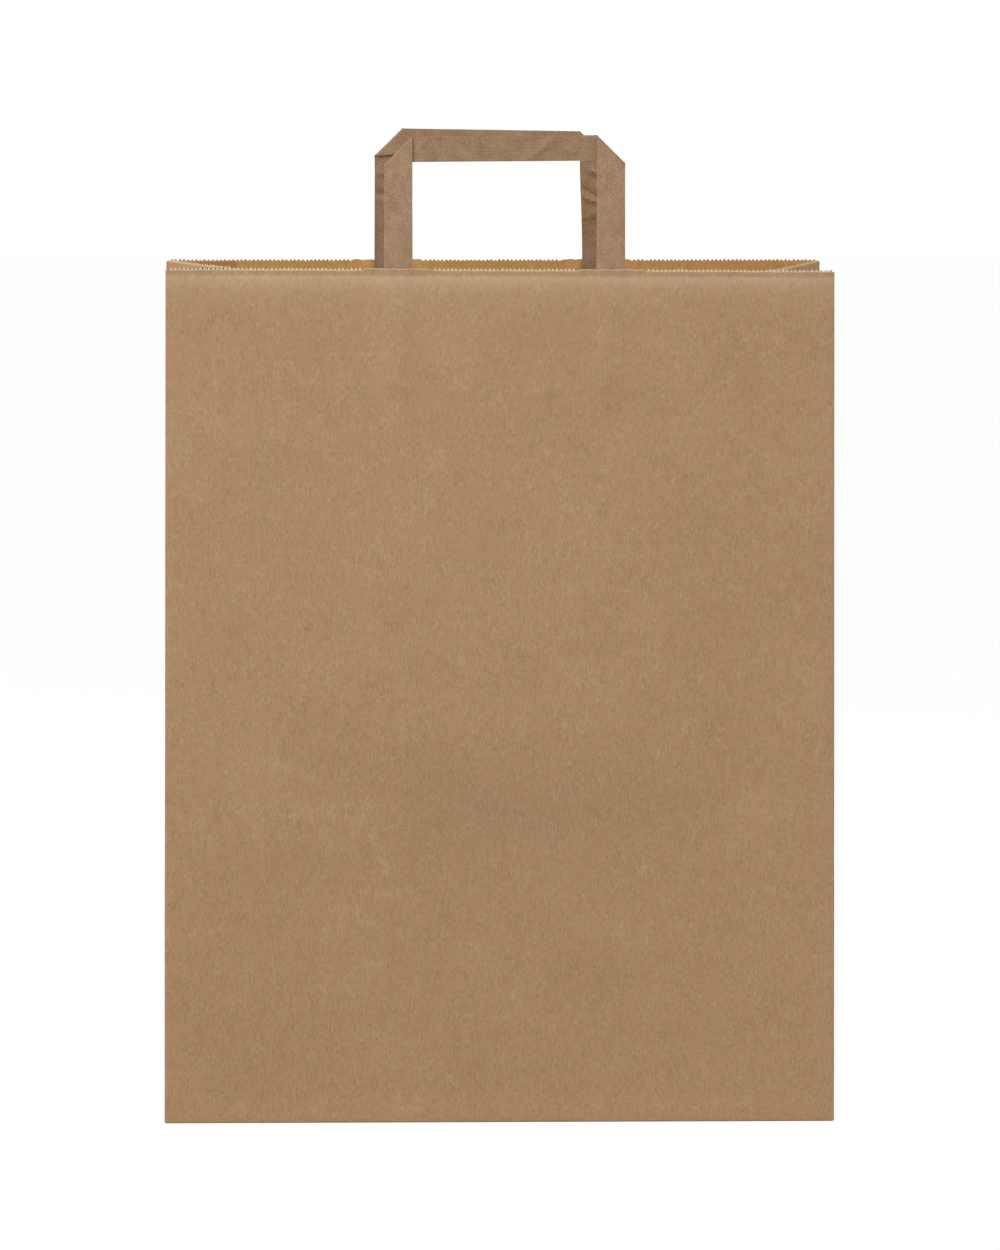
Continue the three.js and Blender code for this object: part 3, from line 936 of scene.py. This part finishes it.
def handle_sheet(handle):
    """The tape of one handle, ribbed, folded, pulled a little out of true and placed on its wall."""
    wall = handle["wall"]
    bend = np.linspace(-0.6, TURN + 0.6, 10) * math.sqrt(2)
    inner = np.arange(0, FOLD_LINE + bend[0] - ALONG_STEP / 2, ALONG_STEP)
    outer = np.linspace(FOLD_LINE + bend[-1] + ALONG_STEP, HALF_LENGTH, 88)
    half = np.concatenate([inner, FOLD_LINE + bend, outer])
    centre_line = np.concatenate([-half[:0:-1], half])
    near_fold = soft_step(SLANT_RUN - np.abs(np.abs(centre_line) - FOLD_LINE), 0, SLANT_RUN / 2)
    slant = np.sign(centre_line) * near_fold
    sheet = Sheet()
    rows = []
    for across in np.linspace(-TAPE_WIDTH / 2, TAPE_WIDTH / 2, TAPE_COLUMNS):
        along = centre_line - slant * across
        points = folded_tape(along, across, tape_relief(along, across, handle["wrinkles"], handle["ribbed"]))
        pulled = soft_step(points[:, 2], SHEET_HEIGHT, GRIP_Z)
        on_grip = 1 - soft_step(np.abs(along) + across, FOLD_LINE - 8, FOLD_LINE)
        points[:, 2] += (handle["tilt"] * points[:, 0] + handle["lift"]) * pulled
        points[:, 2] += handle["curl"] * (0.5 - across / TAPE_WIDTH) * on_grip
        points[:, 0] += wall["offset"] + handle["lean"] * pulled * soft_step(-points[:, 0], 0, LEG_CENTRE)
        hold = 1 - soft_step(points[:, 2], SHEET_HEIGHT, SHEET_HEIGHT + 40)
        points[:, 1] -= hold * wall_relief(wall, points[:, 0], np.minimum(points[:, 2], SHEET_HEIGHT))
        rows.append(wall_frame(points, handle["turn"]))
    sheet.grid(rows)
    return sheet


print("ribs on the tape:", round(TAPE_WIDTH / RIB_PITCH))

# %% Handle pieces
HANDLES = {
    "front": {
        "wall": FRONT_WALL,
        "wrinkles": FRONT_WRINKLES,
        "ribbed": 1.0,
        "turn": 1,
        "tilt": 0.008,
        "lift": -1.9,
        "curl": 1.3,
        "lean": 0.0,
    },
    "rear": {
        "wall": REAR_WALL,
        "wrinkles": REAR_WRINKLES,
        "ribbed": 0.3,
        "turn": -1,
        "tilt": 0.015,
        "lift": -2.5,
        "curl": 0.6,
        "lean": 1.6,
    },
}
tape_materials = [tape_grip_face, tape_leg_face, tape_edge]
for side, handle in HANDLES.items():
    piece = thick_object(f"{side}_tape_handle", handle_sheet(handle), tape_materials, TAPE_THICKNESS, 0)
    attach(piece, "root")
    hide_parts(f"{side}_handle")

# %% [markdown]
# ## The patches
# A strip of paper is glued over the ends of the legs. It is thin and damp with glue when it goes on, so
# it follows the legs under it. It is a grid on the wall, lifted over each leg.

# %% Patch pieces
PATCH_COLUMNS, PATCH_ROWS = 140, 30
PATCH_RAMP = 1.6
WALL_CLEARANCE = 0.12


def patch_sheet(wall, turn):
    """The patch of one handle, draped over its legs."""
    x = np.linspace(-PATCH_WIDTH / 2, PATCH_WIDTH / 2, PATCH_COLUMNS)
    top = SHEET_HEIGHT - PATCH_DROP
    sheet = Sheet()
    rows = []
    for z in np.linspace(top - PATCH_HEIGHT, top, PATCH_ROWS):
        lift = np.zeros_like(x)
        for leg in (-LEG_CENTRE, LEG_CENTRE):
            half = TAPE_WIDTH / 2 + PATCH_RAMP
            lift = lift + plateau(x, leg - half, leg + half, PATCH_RAMP * 0.8)
        glue = 0.05 * (1 + np.sin(x / 9 + z / 14) * np.sin(z / 6 - x / 21))
        along = x + wall["offset"]
        over_leg = lift * (TAPE_THICKNESS + 2 * GLUE_GAP)
        y = PAPER + WALL_CLEARANCE + over_leg + glue - wall_relief(wall, along, z)
        rows.append(wall_frame(np.stack([along, y, np.full_like(x, z)], -1), turn))
    sheet.grid(rows)
    return sheet


kraft_patch = kraft_paper(
    "Kraft_paper_glued_patch", ("#AA8050", "#BC9261", "#CEA576"), "#C09060", "#7D5833", 0.82, 0.0
)
patch_papers = [kraft_patch, kraft_patch, kraft_cut_edge]
for side, handle in HANDLES.items():
    piece = thick_object(
        f"{side}_glued_patch", patch_sheet(handle["wall"], handle["turn"]), patch_papers, PAPER, 1
    )
    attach(piece, "root")
    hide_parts(f"{side}_handle_patch")

# %% [markdown]
# ## Floor and background
# The bag stands in a plain white studio. The floor is a real pale surface that takes the bag's shadow.
# For the camera it also glows a little, so that it reads as white without any more light on the bag.

# %% Floor
FLOOR_REACH = 8.0
FLOOR_GLOW = 0.93
FLOOR_WHITE = 1.04

floor_mesh = bpy.data.meshes.new("studio_floor")
corners = [(x * FLOOR_REACH, y * FLOOR_REACH, 0.0) for x, y in ((-1, -1), (1, -1), (1, 1), (-1, 1))]
floor_mesh.from_pydata(corners, [], [(0, 1, 2, 3)])
floor = bpy.data.objects.new("studio_floor", floor_mesh)
bpy.context.scene.collection.objects.link(floor)


def seen_directly(tree):
    """1 for what the camera sees straight, in a mirror or through glass, and 0 for light on the bag."""
    path = add_node(tree, "ShaderNodeLightPath")
    seen = path.outputs["Is Camera Ray"]
    for ray in ("Is Glossy Ray", "Is Transmission Ray"):
        links = {0: seen, 1: path.outputs[ray]}
        seen = add_node(tree, "ShaderNodeMath", {"operation": "MAXIMUM"}, links).outputs[0]
    return seen


floor_material, floor_output = new_material("Matt_white_studio_floor")
floor_tree = floor_material.node_tree
matt = add_node(floor_tree, "ShaderNodeBsdfDiffuse", {"Color": linear("#DADADA")})
glow = add_node(floor_tree, "ShaderNodeEmission", {"Color": linear("#FFFFFF"), "Strength": FLOOR_WHITE})
share = add_node(
    floor_tree, "ShaderNodeMath", {"operation": "MULTIPLY", 1: FLOOR_GLOW}, {0: seen_directly(floor_tree)}
)
mixed = {0: share.outputs[0], 1: matt.outputs[0], 2: glow.outputs[0]}
lit = add_node(floor_tree, "ShaderNodeMixShader", {}, mixed)
floor_tree.links.new(lit.outputs[0], floor_output.inputs["Surface"])
floor_mesh.materials.append(floor_material)
print("floor", 2 * FLOOR_REACH, "m wide")

# %% [markdown]
# ## Light
# Soft light comes from all round, as in a white tent, and a sun and a softbox at the upper left give it
# a direction. Two weaker softboxes fill the right side and the back. Its level is plain: a sheet of
# grey card in front of the bag would render at about its own grey.

# %% World and lamps
SKY_LEVEL = 0.20
SUN_LEVEL = 0.36
SUN_FROM = Vector((-0.30, -0.52, 0.80))
SUN_SOFTNESS = math.radians(20)
SOFTBOX_SIZE = 0.6
SOFTBOXES = {
    "left_softbox": (Vector((-0.85, -0.65, 1.05)), 9.8),
    "right_softbox": (Vector((1.2, -0.5, 0.7)), 5.6),
    "rear_softbox": (Vector((0.5, 1.3, 0.9)), 11.0),
}

world = bpy.data.worlds.new("white_tent")
bpy.context.scene.world = world
world.use_nodes = True
world_tree = world.node_tree
world_tree.nodes.clear()
sky = add_node(world_tree, "ShaderNodeBackground", {"Color": linear("#FFFFFF"), "Strength": SKY_LEVEL})
white = add_node(world_tree, "ShaderNodeBackground", {"Color": linear("#FFFFFF"), "Strength": 1.0})
backdrop = {0: seen_directly(world_tree), 1: sky.outputs[0], 2: white.outputs[0]}
tent = add_node(world_tree, "ShaderNodeMixShader", {}, backdrop)
add_node(world_tree, "ShaderNodeOutputWorld", {}, {"Surface": tent.outputs[0]})

sun_light = bpy.data.lights.new("window_wall", "SUN")
sun_light.energy = SUN_LEVEL * math.pi
sun_light.angle = SUN_SOFTNESS
sun = bpy.data.objects.new("window_wall", sun_light)
sun.rotation_euler = SUN_FROM.to_track_quat("Z", "Y").to_euler()
bpy.context.scene.collection.objects.link(sun)

bag_centre = Vector((0, 0, RIM_Z / 2 * MM))
for name, (place, power) in SOFTBOXES.items():
    lamp = bpy.data.lights.new(name, "AREA")
    lamp.size = SOFTBOX_SIZE
    lamp.energy = power
    softbox = bpy.data.objects.new(name, lamp)
    softbox.location = place
    softbox.rotation_euler = (bag_centre - place).to_track_quat("-Z", "Y").to_euler()
    bpy.context.scene.collection.objects.link(softbox)
print("sky", SKY_LEVEL, "sun", SUN_LEVEL, "and softboxes", [power for _, power in SOFTBOXES.values()], "W")

# %% [markdown]
# ## Camera
# The photograph looks almost square on, from a long way off and a little above: the rear edge shows as
# a narrow strip over the front one. A long lens at that distance gives the same slight narrowing of the
# rear wall.

# %% Camera
AZIMUTH = math.radians(-2.0)
ELEVATION = math.radians(5.41)
ROLL = math.radians(0.093)
DISTANCE = 4.166
TARGET = Vector((0.0018, 0.0, 0.2343))
LENS = 247.55

camera_data = bpy.data.cameras.new("photo_camera")
camera_data.lens = LENS
camera_data.sensor_width = 36.0
camera_data.clip_end = 100.0
camera = bpy.data.objects.new("photo_camera", camera_data)
backwards = Vector(
    (
        math.sin(AZIMUTH) * math.cos(ELEVATION),
        -math.cos(AZIMUTH) * math.cos(ELEVATION),
        math.sin(ELEVATION),
    )
)
camera.location = TARGET + backwards * DISTANCE
upright = (-backwards).to_track_quat("-Z", "Y")
camera.rotation_euler = (Quaternion(backwards, ROLL) @ upright).to_euler()
bpy.context.scene.collection.objects.link(camera)
bpy.context.scene.camera = camera
bpy.context.scene.view_settings.view_transform = "Standard"
print("camera at", [round(v, 3) for v in camera.location])
